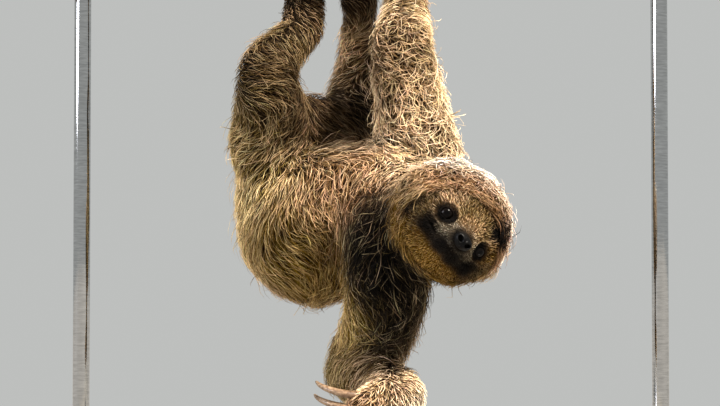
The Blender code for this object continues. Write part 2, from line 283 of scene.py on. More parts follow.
def coat_look():
    """Sloth guard hair: coarse, dull and grooved, bleached at the tip, and darkened towards the
    root, partly its own colour and partly painted shade between the hairs.
    """
    look = Look("sloth_guard_hair")
    marking = look.add("Attribute", "Color", {"attribute_name": "marking"})
    along = look.add("Attribute", "Fac", {"attribute_name": "along"})
    blotches = look.add("TexNoise", "Fac", Scale=1 / (9 * MM), Detail=4.0)
    root = {"stops": ((0.0, "120e0b"), (0.3, "6f6459"), (0.7, "ffffff"))}
    shade = look.add("ValToRGB", "Color", root, Fac=along)
    worn = {"stops": ((0.3, "cdc8bf"), (0.7, "ffffff"))}
    mottle = look.add("ValToRGB", "Color", worn, Fac=blotches)
    shaded = look.add("Mix", "Result", MULTIPLY, Factor=1.0, A=marking, B=shade)
    colour = look.add("Mix", "Result", MULTIPLY, Factor=1.0, A=shaded, B=mottle)
    lighter = look.add("Mix", "Result", SCREEN, Factor=1.0, A=marking, B="e2d6c4")
    bleached = look.add("Mix", "Result", MULTIPLY, Factor=1.0, A=lighter, B=marking)
    at_tip = {"stops": ((0.5, "000000"), (1.0, "7c7c7c"))}
    tips = look.add("ValToRGB", "Color", at_tip, Fac=along)
    colour = look.add("Mix", "Result", MIX, Factor=tips, A=colour, B=bleached)
    return look.finish(Base_Color=colour, Roughness=0.65, Specular_IOR_Level=0.1)


def skin_look():
    """Dark bare skin under the coat, finely creased, with the coat's markings showing through; its
    darkness is partly painted shade between the hairs.
    """
    look = Look("sloth_skin")
    marking = look.add("Attribute", "Color", {"attribute_name": "marking"})
    blotches = look.add("TexNoise", "Fac", Scale=1 / (4 * MM), Detail=4.0)
    patchy = {"stops": ((0.3, "8a7f74"), (0.7, "ffffff"))}
    mottle = look.add("ValToRGB", "Color", patchy, Fac=blotches)
    edges = {"feature": "DISTANCE_TO_EDGE"}
    creases = look.add("TexVoronoi", "Distance", edges, Scale=1 / (1.3 * MM))
    return look.finish(
        Base_Color=look.add("Mix", "Result", MULTIPLY, Factor=1.0, A=marking, B=mottle),
        Roughness=0.7,
        Specular_IOR_Level=0.06,
        Normal=look.add("Bump", "Normal", Height=creases, Distance=0.25 * MM, Strength=0.6),
    )


def nose_look():
    """Rhinarium: moist black leathery skin with a fine pebbled grain."""
    look = Look("moist_nose_leather")
    pebbles = look.add("TexVoronoi", "Distance", Scale=1 / (0.8 * MM))
    blotches = look.add("TexNoise", "Fac", Scale=1 / (3 * MM), Detail=4.0)
    damp = look.add("TexNoise", "Fac", Scale=1 / (1.5 * MM), Detail=4.0)
    black = {"stops": ((0.35, "030303"), (0.7, "0a0909"))}
    moist = {"stops": ((0.3, "a0a0a0"), (0.7, "c0c0c0"))}
    return look.finish(
        Base_Color=look.add("ValToRGB", "Color", black, Fac=blotches),
        Roughness=look.add("ValToRGB", "Color", moist, Fac=damp),
        Specular_IOR_Level=0.1,
        Coat_Weight=0.03,
        Coat_Roughness=0.25,
        Normal=look.add("Bump", "Normal", Height=pebbles, Distance=0.2 * MM, Strength=0.6),
    )


def eye_look():
    """Wet eye: a near-black pupil in a very dark brown iris, inside a dark brown rim."""
    look = Look("wet_eye")
    gaze = look.add("Attribute", "Fac", {"attribute_name": "gaze"})
    rays = look.add("TexNoise", "Fac", Scale=1 / (0.7 * MM), Detail=4.0)
    browns = {"stops": ((0.3, "060403"), (0.7, "0f0a07"))}
    iris = look.add("ValToRGB", "Color", browns, Fac=rays)
    ring = {"stops": ((0.20, "000000"), (0.24, "ffffff"), (0.44, "ffffff"), (0.52, "000000"))}
    zones = look.add("ValToRGB", "Color", ring, Fac=gaze)
    outwards = {"stops": ((0.22, "020101"), (0.5, "030202"), (0.8, "080504"))}
    rim = look.add("ValToRGB", "Color", outwards, Fac=gaze)
    return look.finish(
        Base_Color=look.add("Mix", "Result", MIX, Factor=zones, A=rim, B=iris),
        Roughness=0.25,
        Specular_IOR_Level=0.06,
        Coat_Weight=0.09,
        Coat_Roughness=0.04,
    )


def claw_look():
    """Horn: layered keratin, brownish and faintly banded, stained darker at the root."""
    look = Look("claw_horn")
    along = look.add("Attribute", "Fac", {"attribute_name": "along"})
    coarse = look.add("TexNoise", "Fac", Scale=1 / (2.2 * MM), Detail=6.0)
    fine = look.add("TexNoise", "Fac", Scale=1 / (0.9 * MM), Detail=6.0)
    horn = {"stops": ((0.0, "4c3a2a"), (0.25, "86694d"), (0.6, "ad9073"), (1.0, "927a60"))}
    body = look.add("ValToRGB", "Color", horn, Fac=along)
    stained = {"stops": ((0.3, "8f7d68"), (0.65, "ffffff"))}
    streaks = look.add("ValToRGB", "Color", stained, Fac=coarse)
    return look.finish(
        Base_Color=look.add("Mix", "Result", MULTIPLY, Factor=1.0, A=body, B=streaks),
        Roughness=0.42,
        Coat_Weight=0.15,
        Normal=look.add("Bump", "Normal", Height=fine, Distance=0.25 * MM, Strength=0.5),
    )


BRANCH_SLOPE = math.atan(0.12)  # the branch rises this much towards the head end


def bark_look():
    """Weathered bark: grey-brown plates with dark fissures along the grain and pale lichen."""
    look = Look("weathered_bark")
    turn = (0, BRANCH_SLOPE, 0)
    grain = look.add("Mapping", "Vector", Rotation=turn, Scale=(0.22, 1, 1))
    plates = look.add("TexNoise", "Fac", Vector=grain, Scale=1 / (7 * MM), Detail=8.0,
                      Roughness=0.65)
    patches = look.add("TexNoise", "Fac", Scale=1 / (16 * MM), Detail=5.0, Roughness=0.6)
    barks = {"stops": ((0.36, "2b2119"), (0.48, "66543f"), (0.6, "8b7860"), (0.75, "a3937a"))}
    colour = look.add("ValToRGB", "Color", barks, Fac=plates)
    spread = {"stops": ((0.58, "000000"), (0.66, "ffffff"))}
    lichen = look.add("ValToRGB", "Color", spread, Fac=patches)
    return look.finish(
        Base_Color=look.add("Mix", "Result", MIX, Factor=lichen, A=colour, B="a4a38c"),
        Roughness=0.88,
        Normal=look.add("Bump", "Normal", Height=plates, Distance=1.2 * MM, Strength=0.8),
    )


def end_grain_look():
    """Sawn end of the branch: pale wood with growth rings about a millimetre and a half apart."""
    look = Look("sawn_end_grain")
    at = middle("perch_branch")
    centred = look.add("Mapping", "Vector", Location=(0, -at.y, -at.z))
    rings = look.add("TexWave", "Fac", {"wave_type": "RINGS", "rings_direction": "X"},
                     Vector=centred, Scale=1 / (9 * MM), Distortion=1.2, Detail=2.0)
    woods = {"stops": ((0.2, "a98a5e"), (0.8, "cfb48a"))}
    return look.finish(
        Base_Color=look.add("ValToRGB", "Color", woods, Fac=rings),
        Roughness=0.8,
        Normal=look.add("Bump", "Normal", Height=rings, Distance=0.15 * MM, Strength=0.6),
    )


def base_look():
    """Painted board: pale warm grey satin paint with the faint stipple of a roller."""
    look = Look("satin_board_paint")
    stipple = look.add("TexNoise", "Fac", Scale=1 / (1.6 * MM), Detail=5.0)
    worn = look.add("TexNoise", "Fac", Scale=1 / (45 * MM), Detail=5.0, Roughness=0.6)
    paints = {"stops": ((0.3, "9b9892"), (0.7, "a5a29c"))}
    rubbed = {"stops": ((0.3, "f3f1ee"), (0.7, "ffffff"))}
    satin = {"stops": ((0.3, "7a7a7a"), (0.7, "5c5c5c"))}
    paint = look.add("ValToRGB", "Color", paints, Fac=stipple)
    handled = look.add("ValToRGB", "Color", rubbed, Fac=worn)
    return look.finish(
        Base_Color=look.add("Mix", "Result", MULTIPLY, Factor=1.0, A=paint, B=handled),
        Roughness=look.add("ValToRGB", "Color", satin, Fac=worn),
        Normal=look.add("Bump", "Normal", Height=stipple, Distance=0.12 * MM, Strength=0.4),
    )


def rod_look():
    """Brushed stainless steel rod: fine rings left by the brush around it."""
    look = Look("brushed_stainless_steel")
    around = look.add("Mapping", "Vector", Scale=(0.15, 0.15, 1))
    brushed = look.add("TexNoise", "Fac", Vector=around, Scale=1 / (1.2 * MM), Detail=5.0)
    steels = {"stops": ((0.3, "a5a6a6"), (0.7, "c6c7c7"))}
    scuffs = {"stops": ((0.3, "4d4d4d"), (0.7, "666666"))}
    return look.finish(
        Base_Color=look.add("ValToRGB", "Color", steels, Fac=brushed),
        Metallic=1.0,
        Roughness=look.add("ValToRGB", "Color", scuffs, Fac=brushed),
        Normal=look.add("Bump", "Normal", Height=brushed, Distance=0.05 * MM, Strength=0.3),
    )


def floor_look():
    """Matt pale studio paint, very slightly uneven."""
    look = Look("matt_studio_floor")
    uneven = look.add("TexNoise", "Fac", Scale=1 / 0.4, Detail=3.0)
    paints = {"stops": ((0.3, "7c7c7b"), (0.7, "828281"))}
    return look.finish(
        Base_Color=look.add("ValToRGB", "Color", paints, Fac=uneven),
        Roughness=0.9,
    )


# ---- markings, with painted light and shade among them

BASE_COAT = "b79b78"
BASE_STRENGTH = 0.5
FALL = 2.6  # how steeply a mark or patch fades at its reach
RIM_FALL = 8  # the same for the sharper rims round the eyes and the nose pad
# Body markings, with painted light and shade among them: middle and reach in millimetres, strength
# and colour of the hair there.
BODY_MARKS_AND_PAINTED_LIGHT = (
    ((-15, -45, 232), 34, 3, "cda680"),  # upper flank, pinkish buff
    ((-7, -48, 220), 17, 11, "5a351a"),  # behind the throat, reddish brown
    ((-50, -20, 165), 38, 3, "a88b45"),  # lower flank, golden olive
    ((-38, -25, 187), 15, 5, "694a20"),  # painted shade in the crease across the flank
    ((-98, 35, 225), 32, 7, "dcc48c"),  # rump, paler
    ((-94, 20, 258), 26, 6, "dcc28a"),
    ((-57, 8, 298), 15, 7, "45331f"),  # shaded front of the thigh
    ((-56, 14, 274), 12, 6, "45331f"),
    ((-85, 15, 285), 36, 3, "685637"),  # near thigh, dull brown, partly painted shade
    ((-62, 20, 325), 18, 3, "86734f"),
    ((-40, 45, 280), 24, 4, "6b563f"),  # belly fringe in the groin
    ((-8, 92, 300), 36, 9, "27190e"),  # far leg, darker brown, deepened by painted shade
    ((-22, 76, 318), 19, 80, "ffdcb0"),  # its smooth inner side, tan, painted much lighter as a pool of sunlight
    ((26, 0, 300), 42, 5, "fadcb2"),  # raised arm, partly painted sunlight
    ((50, -5, 292), 22, 6, "fdeaca"),  # its outer edge, a painted highlight of the sun
    ((14, -12, 310), 18, 7, "745330"),  # its inner edge, painted shade
    ((40, -10, 248), 28, 5, "ffe9c8"),  # shoulder, painted sunlight on it
    ((5, -55, 196), 18, 80, "040302"),  # throat, brown, darkened to near black by the painted shadow of the head
    ((2, -58, 172), 16, 40, "0a0705"),
    ((18, -58, 160), 23, 24, "0d0a07"),
    ((16, -48, 128), 18, 18, "100c08"),  # breast, down the inside of the hanging arm, darkened by the same painted shadow
    ((-14, -30, 133), 15, 8, "cdb26f"),  # outer side of that arm, golden
    ((-22, -12, 95), 20, 6, "9a8558"),  # its elbow
    # down the forearm, dull olive brown, partly painted shade
    ((12, -62, 104), 14, 4, "73603f"),
    ((13, -84, 90), 15, 40, "ffdcb4"),  # wrist, ginger, painted much lighter as if in sunlight
    ((28, -82, 72), 17, 12, "fff3e0"),  # wrist, cream, with a painted highlight
    ((-6, -90, 64), 12, 4, "d0a985"),
    ((36, -104.5, 203.5), 3.6, 400, "0c0805"),  # painted shadow under the fringe where the hood begins, right side
    ((31, -102.5, 200.5), 3.6, 400, "0c0805"),
    ((-46, 48, 378), 22, 5, "4f3b27"),  # gripping feet and hand
    ((-11, 52, 384), 22, 5, "4f3b27"),
    ((31, 48, 386), 24, 4, "8a6d4c"),
)
# Markings of the face, with painted light and shade among them, in the head's frame; both sides
# unless the strength is given as negative.
FACE_MARKS_AND_PAINTED_LIGHT = (
    ((4, 0, 42), 20, 5, "dfbb95"),  # crown
    ((2, 20, 40), 18, 12, "f6f4f2"),  # its edges, a painted highlight of the sun from above
    ((4, 36, 22), 12, -12, "f8f0e8"),
    ((27, 20, 24), 11, -16, "7a4e35"),  # reddish brown below it on the raised side
    ((30, 30, 8), 9, -14, "7d5a40"),
    ((20, -30, 22), 16, 4, "b99068"),
    ((26, 22, 26), 12, 7, "a37c5a"),
    ((32, 3, 25), 11, 13, "80603f"),  # reddish front of the crown
    ((-3, 36, -22), 10, 9, "8a6a33"),  # hood beside the jaw, brownish gold
    ((0, 24, -34), 10, 9, "8f6e2f"),
    ((12, 38, -15), 7, 6, "8b7048"),
    ((46, 0, -10), 7, 6, "8f887a"),  # bridge of the muzzle, grey, partly a painted highlight
    ((43, 9, -14.5), 5.5, 8, "8d8778"),
    ((38.5, 13, -18.5), 4.5, 10, "837c6c"),  # upper lip
    ((46, 4, -20.5), 4, 10, "6f695d"),
    ((44.8, 4, -3), 6, 5, "c9a67c"),  # pale bridge between the eyes
    ((41, 9, 3), 9, 4, "867145"),  # forehead, olive
    ((36.5, 20, 2), 7, 4, "dfbd98"),  # pale arch over the eye
    ((30, 30.5, -8), 5, 6, "6b5a43"),
    ((46.5, 7, -12.5), 3.4, -20, "ecd6b0"),  # painted highlight on the cheek of the muzzle, raised side only
    ((46, 0, -26), 4.5, 26, "080706"),  # lower lip and chin
    ((40, 8, -26), 6, 26, "090706"),
    ((36.5, 10, -29), 5, 10, "221e1a"),  # greyer middle of the chin
    ((34, 18, -25), 5.5, 28, "070504"),
    ((32.5, 20.5, -20.5), 4.5, 28, "060403"),  # corner of the mouth
    ((30, 22, -22.5), 4, 16, "130e09"),
    ((31, 24, -18), 3.4, 10, "241b10"),  # stripe from the eye back across the cheek
    ((26, 31, -18), 6, 9, "54421f"),
    ((24, 33, -10), 6, 24, "8e7548"),
    ((27, 29.5, -17), 4.5, 18, "6f5d3c"),
    ((17, 34, -22), 5, 7, "5a4526"),
    ((23, 28, -26), 5, 6, "54402a"),
    ((35.5, 15.5, 9.5), 3.8, -1500, "060403"),  # a dark patch over the left eye only
    ((29, 17, 15.5), 4.8, -1500, "060403"),
    ((28.8, 11.5, 19), 4, -1500, "060403"),
    ((24.5, 17, 20.5), 4, -1500, "060403"),
    ((33, 26, -2), 6, -40, "93723a"),  # golden brown below it
    ((15, 27, -31), 8, 7, "99762e"),  # cheeks
    ((8, 16, -38), 12, 7, "9d7a2e"),  # golden band under the jaw
    ((22, 4, -35.5), 9, 9, "b08834"),
    ((25, 15, -31.5), 6, 8, "9c772e"),
)
NOSE_SKIN = ("0c0b0a", 120)  # colour and strength of the bare skin round the nose pad
NOSE_SKIN_HALF = (7.4, 5.8)  # its half width and half height, in millimetres
MUZZLE_FROM = 30  # where the muzzle begins, in millimetres forward of the head's middle
EYE_RING = ("050403", 90)  # colour and strength of the black patch round each eye
EYE_RING_HALF = (6.1, 4.9)  # its half width and half height, in millimetres
EYE_RING_INWARDS = 0.9 * MM  # how far its middle lies towards the nose
EYE_RING_FROM = -6 * MM  # how far below the eye's middle it begins


def fading(points, place, reach):
    """1 at a place, fading round it at its reach; all of them in millimetres."""
    away = np.linalg.norm(points - np.array(place), axis=1) / reach
    return np.exp(-(away**FALL))


def markings_and_painted_light(points):
    """The linear colour of the hair at each point, markings and painted light and shade together,
    the same for the skin and the coat.
    """
    strengths, colours = [np.full(len(points), BASE_STRENGTH)], [linear(BASE_COAT)]
    for place, reach, strength, code in BODY_MARKS_AND_PAINTED_LIGHT:
        strengths.append(strength * fading(points / MM, place, reach))
        colours.append(linear(code))
    local = in_head(points)
    for place, reach, strength, code in FACE_MARKS_AND_PAINTED_LIGHT:
        sides = (1,) if strength < 0 else (1, -1)
        for side in sides if place[1] else (1,):
            spot = np.array(place) * (1, side, 1)
            strengths.append(abs(strength) * fading(local, spot, reach))
            colours.append(linear(code))
    code, strength = NOSE_SKIN
    from_nose = local - in_head(np.array([NOSE]))
    away = np.hypot(from_nose[:, 1] / NOSE_SKIN_HALF[0], from_nose[:, 2] / NOSE_SKIN_HALF[1])
    strengths.append(strength * np.exp(-(away**RIM_FALL)) * (local[:, 0] > MUZZLE_FROM))
    colours.append(linear(code))
    code, strength = EYE_RING
    for side in EYES:
        height, across, rise = eye_place(points, side)
        inwards = EYE_RING_INWARDS * (1 if side == "right" else -1)
        away = open_share(across - inwards, rise, EYE_RING_HALF)
        strengths.append(strength * np.exp(-(away**RIM_FALL)) * (height > EYE_RING_FROM))
        colours.append(linear(code))
    strengths = np.array(strengths)
    return strengths.T @ np.array(colours) / strengths.sum(0)[:, None]


# ---- the skin

# How the coat grows on each part: its depth and hair length in millimetres, the hair's width in
# millimetres, hairs per square millimetre, and how far their directions stray, in degrees.
GROOM = {
    "head": (6.5, 17, 0.56, 0.85, 50),
    "ear": (2.5, 8, 0.55, 0.8, 20),
    "neck": (9, 25, 0.62, 0.45, 26),
    "trunk_chest": (8, 25, 0.60, 0.42, 27),
    "trunk_hips": (8, 26, 0.60, 0.42, 17),
    "tail": (4, 14, 0.6, 0.50, 15),
    "upper_arm_right": (8, 19, 0.58, 0.52, 48),
    "forearm_right": (6, 16, 0.58, 0.52, 42),
    "hand_right": (3, 9, 0.6, 0.60, 20),
    "upper_arm_left": (8, 22, 0.58, 0.50, 30),
    "forearm_left": (6, 15, 0.62, 0.56, 30),
    "hand_left": (3.5, 9, 0.6, 0.80, 26),
    "thigh": (6.5, 20, 0.60, 0.48, 20),
    "shank": (5.5, 15, 0.60, 0.52, 22),
    "foot": (3, 9, 0.6, 0.60, 16),
}
DEPTH, LENGTH, WIDTH, DENSITY, SCRUFF = range(5)
# The same for the face, against the angle from the middle of the face in degrees. The face is
# wider than it is high.
FACE_AXIS = unit(np.array([1, 0, -0.5]))
FACE_WIDER = 1.25
FACE_ANGLES = (14, 28, 40, 48, 55)
FACE_GROOM = ((0.7, 1.0, 1.6, 2.8, 6.5), (2.2, 3.2, 5, 8.5, 17), (0.36, 0.40, 0.46, 0.52, 0.62),
              (3.6, 3.2, 2.5, 1.7, 1.1), (14, 16, 20, 32, 52))

# Patches where the coat differs: middle and reach in millimetres, the measure, and its factor.
PATCHES = (
    ((-20, 77, 298), 16, LENGTH, 0.4),  # smooth inner thigh
    ((4, 0, 275), 15, SCRUFF, 0.4),  # combed inner edge of the raised arm
    ((4, 0, 300), 15, SCRUFF, 0.4),
    ((4, 5, 325), 15, SCRUFF, 0.4),
    ((-62, 8, 268), 20, SCRUFF, 2.0),  # tousled front of the thigh
)
FLUFFED = ((66, -20, 246), 17, 1.4)  # coat raised where the shoulder meets the crown
EVENING = 0.6  # how far a round of evening out draws values towards their neighbours' mean
BODY_ROUNDS, FACE_ROUNDS = 10, 2  # how often the measures are evened out there
FLESH_SPARE = 0.5 * MM  # how far the parts of flesh are grown so that they join up
SKIN_VOXEL = 2.3 * MM
SKIN_SMOOTHING = 12
FACE_CUTS, FACE_SMOOTHING = 2, 4  # the finer mesh of the face
UNDER_COAT = (0.09, 0.075, 0.06)  # share of the coat's colour that the skin under it has, kept low partly as painted shade in the gaps between hairs
FACE_SHOWS = 3.0  # how much more it has where the hair of the face is thin
FACE_THINS = (34, 50)  # where the face hair thickens into the coat, in degrees
SKIN_DEPTH, SKIN_BELOW = 0.95, 0.3  # the skin's depth as a share of the coat's, and the rest in mm
FACE_BLOCK = (20, 60, 30, 36)  # the finer face: from, to, half width and half height, in mm
GAZE_OUTWARDS, GAZE_FORWARD = 0.7, 0.3  # what the eyes' direction is mixed from
LID_HALF = (4.0, 3.3)  # half width and half height of the open eye, in millimetres
LID_THICK, UNDER_EYE = 0.7 * MM, 1.2 * MM  # how far the skin lies over the ball and under it
LID_RISES = (1.15, 2.1)  # where the lid blends into the face, as shares of the open eye
EYE_AROUND = (1.6, 2.6)  # where the eye's surroundings end, as shares of the open eye
EYE_ZONE = -4 * MM  # how far below the eye's middle they begin
MOUTH_UP, MOUTH_HALF = -23.4, 23.0  # height of its middle, and half its width, in millimetres
MOUTH_FADE = 4  # over how many millimetres each end of the line fades out
MOUTH_SMILE = 0.011  # how much the line rises towards the cheeks
MOUTH_DEPTH, MOUTH_WIDTH = 1.6, 1.0  # of the line, in millimetres


def face_angle(points):
    """Degrees away from the middle of the face."""
    local = in_head(points) / (1, FACE_WIDER, 1)
    return np.degrees(np.arccos(np.clip(unit(local) @ FACE_AXIS, -1, 1)))


def groom_of(node):
    return GROOM[node if node in GROOM else node.rsplit("_", 1)[0]]


def rough_skin():
    """All the flesh as one closed smooth surface, finer on the face."""
    parts = [node_copy(node, FLESH_SPARE) for node in FLESH + ["eye_left", "eye_right", "nose"]]
    pick(*parts)
    bpy.ops.object.join()
    skin = bpy.context.view_layer.objects.active
    bake_modifier(skin, "REMESH", mode="VOXEL", voxel_size=SKIN_VOXEL)
    bake_modifier(skin, "SMOOTH", factor=0.5, iterations=SKIN_SMOOTHING)
    ahead, aside, rise = in_head(read(skin.data.polygons, "center")).T
    back, front, half_width, half_height = FACE_BLOCK
    near_face = (np.abs(aside) < half_width) & (ahead > back) & (np.abs(rise) < half_height)
    select_faces(skin, near_face & (ahead < front))
    bpy.ops.mesh.subdivide(number_cuts=FACE_CUTS)
    bpy.ops.mesh.vertices_smooth(factor=0.5, repeat=FACE_SMOOTHING)
    bpy.ops.object.mode_set(mode="OBJECT")
    return skin


def neighbours(mesh):
    """For each vertex the vertices next to it, padded with itself to one length."""
    edges = read(mesh.edges, "vertices", 2, np.int32)
    both = np.vstack([edges, edges[:, ::-1]])
    both = both[np.argsort(both[:, 0], kind="stable")]
    counts = np.bincount(both[:, 0], minlength=len(mesh.vertices))
    column = np.arange(len(both)) - np.repeat(np.cumsum(counts) - counts, counts)
    table = np.repeat(np.arange(len(mesh.vertices))[:, None], counts.max(), axis=1)
    table[both[:, 0], column] = both[:, 1]
    return table


def blended(values, table):
    """Values at vertices, each drawn towards the mean of its neighbours."""
    return values * (1 - EVENING) + values[table].mean(1) * EVENING


def soften(values, table, rounds):
    for _ in range(rounds):
        values = blended(values, table)
    return values


def nearest_parts(points):
    """The index in FLESH of the part whose surface lies nearest to each point."""
    corners, faces, owner = [], [], []
    for index, node in enumerate(FLESH):
        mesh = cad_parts[node].data
        offset = sum(map(len, corners))
        corners.append(coordinates(mesh))
        faces.append(triangles(mesh) + offset)
        owner.append(np.full(len(faces[-1]), index))
    tree = BVHTree.FromPolygons(np.vstack(corners).tolist(), np.vstack(faces).tolist())
    owner = np.concatenate(owner)
    return owner[[tree.find_nearest(point)[2] for point in points.tolist()]]


def groom_fields(points, parts, table):
    """Depth, length, width, density and scruff of the coat at each vertex of the skin."""
    fields = np.array([groom_of(node) for node in FLESH], float)[parts]
    angle = face_angle(points)
    on_head = parts == FLESH.index("head")
    for column, values in enumerate(FACE_GROOM):
        graded = np.interp(angle, FACE_ANGLES, values)
        fields[:, column] = np.where(on_head, graded, fields[:, column])
    body = soften(fields, table, BODY_ROUNDS)
    for at, reach, measure, factor in PATCHES:
        body[:, measure] *= 1 - (1 - factor) * fading(points / MM, at, reach)
    keep = (on_head & (angle < FACE_ANGLES[-1]))[:, None]
    return np.where(keep, soften(fields, table, FACE_ROUNDS), body)


def gaze_axes(side):
    """Ahead, across and up of an eye: it looks outwards and a little forward."""
    outwards = (EYES[side] - HEAD_AT).normalized()
    ahead = (outwards * GAZE_OUTWARDS + FORWARD * GAZE_FORWARD).normalized()
    across = UP.cross(ahead).normalized()
    return ahead, across, ahead.cross(across)


def eye_place(points, side):
    """Height above the eye's middle along its gaze, and across and up of it, in metres."""
    away = points - np.array(EYES[side])
    return tuple(away @ np.array(axis) for axis in gaze_axes(side))


def open_share(across, rise, half=LID_HALF):
    """1 on the rim of the open eye, or of an oval of another half width and height."""
    return np.hypot(across / (half[0] * MM), rise / (half[1] * MM))


def shape_lids(points):
    """Draws the skin up into lids round each eyeball, and down under it inside the opening."""
    for side in EYES:
        ahead = np.array(gaze_axes(side)[0])
        height, across, rise = eye_place(points, side)
        share = open_share(across, rise)
        off_axis = across**2 + rise**2
        near = (height > EYE_ZONE) & (share < EYE_AROUND[1])
        lid = np.sqrt(np.maximum((EYE_RADIUS + LID_THICK) ** 2 - off_axis, 0))
        under = np.sqrt(np.maximum((EYE_RADIUS - UNDER_EYE) ** 2 - off_axis, 0))
        raised = 1 - smooth_step(*LID_RISES, share)
        outside = height + (np.maximum(lid, height) - height) * raised
        target = np.where(share < 1, under, outside)
        points = points + np.where(near, target - height, 0)[:, None] * ahead
    return points


def mouth_line(local):
    """1 along the line of the mouth, which runs back under each cheek, and 0 away from it."""
    middle_line = MOUTH_UP + MOUTH_SMILE * local[:, 1] ** 2
    line = np.exp(-(((local[:, 2] - middle_line) / MOUTH_WIDTH) ** 2))
    line *= 1 - smooth_step(MOUTH_HALF - MOUTH_FADE, MOUTH_HALF, np.abs(local[:, 1]))
    return line * (local[:, 0] > FACE_BLOCK[0])


def make_skin():
    """One skin for all the flesh, with the coat's markings and painted light and shade, and how
    the coat grows on it.
    """
    skin = rough_skin()
    mesh = skin.data
    table = neighbours(mesh)
    points, normals = coordinates(mesh), soften(vertex_normals(mesh), table, FACE_ROUNDS)
    parts = nearest_parts(points)
    fields = groom_fields(points, parts, table)
    points -= unit(normals) * (fields[:, DEPTH:DEPTH + 1] * SKIN_DEPTH + SKIN_BELOW) * MM
    points = blended(points, table)
    points -= unit(normals) * (mouth_line(in_head(points)) * MOUTH_DEPTH * MM)[:, None]
    points = shape_lids(points)
    set_coordinates(mesh, points)
    mesh.shade_smooth()
    thin = (1 - smooth_step(*FACE_THINS, face_angle(points))) * (parts == FLESH.index("head"))
    shows = np.array(UNDER_COAT) * (1 + FACE_SHOWS * thin)[:, None]
    set_marking_and_painted_light(mesh, markings_and_painted_light(points) * shows)
    hand_over(skin, "skin", "coat", skin_look(), *FLESH)
    return skin, table, parts, fields


# ---- the lie of the coat

# Where the near flank's hair runs, as seen from that side: across and up of the origin, then the
# direction across and up, and the reach, in millimetres.
FLANK_LIES = (
    (-52, 223, 0.5, -0.85, 18), (-17, 241, 0.6, -0.8, 18), (-27, 216, 0.8, -0.6, 18),
    (-76, 212, -0.45, -0.9, 16), (-95, 202, -0.4, -0.9, 16), (-50, 190, 0.9, -0.35, 16),
    (-78, 186, -0.8, -0.6, 16), (-63, 161, 0.35, -0.95, 18), (-29, 160, -0.5, -0.85, 18),
    (-50, 140, 0.6, -0.8, 14), (-2, 215, 0.2, -1.0, 14), (-6, 190, 0.0, -1.0, 14),
    (-72, 329, -0.5, -0.85, 14), (-70, 304, 0.85, -0.3, 16), (-78, 282, 0.75, -0.5, 16),
    (-97, 270, -0.1, -1.0, 14), (-62, 262, 0.4, -0.9, 14), (-40, 268, 0.2, -1.0, 16),
    (25, 300, 0.1, -1.0, 40), (38, 240, 0.5, -0.8, 20),
    (6, 190, -1.0, -0.1, 13), (0, 176, -0.8, -0.6, 12), (9, 160, -0.4, -0.9, 13),
    (24, 164, 0.15, -1.0, 14),
    (-14, 135, 0.0, -1.0, 16), (10, 130, -0.3, -0.95, 14), (34, 136, 0.5, -0.8, 14),
    (-22, 95, -0.15, -1.0, 18), (12, 104, -0.4, -0.9, 14), (26, 78, 0.15, -1.0, 14),
    (2, 68, -0.9, -0.4, 12),
)
LIE_PULL = 4.0  # how strongly each draws the hair its way
# On the head the long hair runs round the face like a hood: how soft its parting on top is, and
# how far it also runs forward over the brow and down.
HOOD_PARTING, HOOD_FORWARD, HOOD_DROP = 0.25, 0.75, 0.5
BROW = (0.2, 0.9)  # the upward normals between which the forward run sets in
FACE_LIE_ENDS = (45, 53)  # where the hair stops running away from the nose, in degrees
TOP_LEAN = (-0.25, 0.35, 0)  # where the hair runs on level stretches of the back and belly
LEVEL = (0.5, 1)  # the upward normals between which a stretch becomes level
NEAR_SIDE = (0.45, -0.1)  # the flank's table fades out between these sideways normals
LIE_ROUNDS = 12  # how often the lie is evened out
SWIRL = 26.0  # how far the lie wanders over a few centimetres, in degrees
FACE_SWIRL = 0.2  # the face's share of that
SWIRL_LENGTH = 55 * MM
WAVES, WAVE_PACES = 7, (0.7, 1.6)  # what a wandering value is made of


def wander(points, length):
    """A smooth random value around zero, that changes over about the given length."""
    total = np.zeros(len(points))
    for _ in range(WAVES):
        direction = unit(rng.normal(size=3))
        pace = 2 * math.pi / (length * rng.uniform(*WAVE_PACES))
        total += np.sin(points @ direction * pace + rng.uniform(0, 2 * math.pi))
    return total / math.sqrt(WAVES / 2)


def turned(directions, axes, degrees):
    """Directions turned about unit axes that they are square to."""
    angle = np.radians(degrees)[:, None]
    return directions * np.cos(angle) + np.cross(axes, directions) * np.sin(angle)


def tangent(directions, normals):
    return unit(directions - normals * (directions * normals).sum(1, keepdims=True))


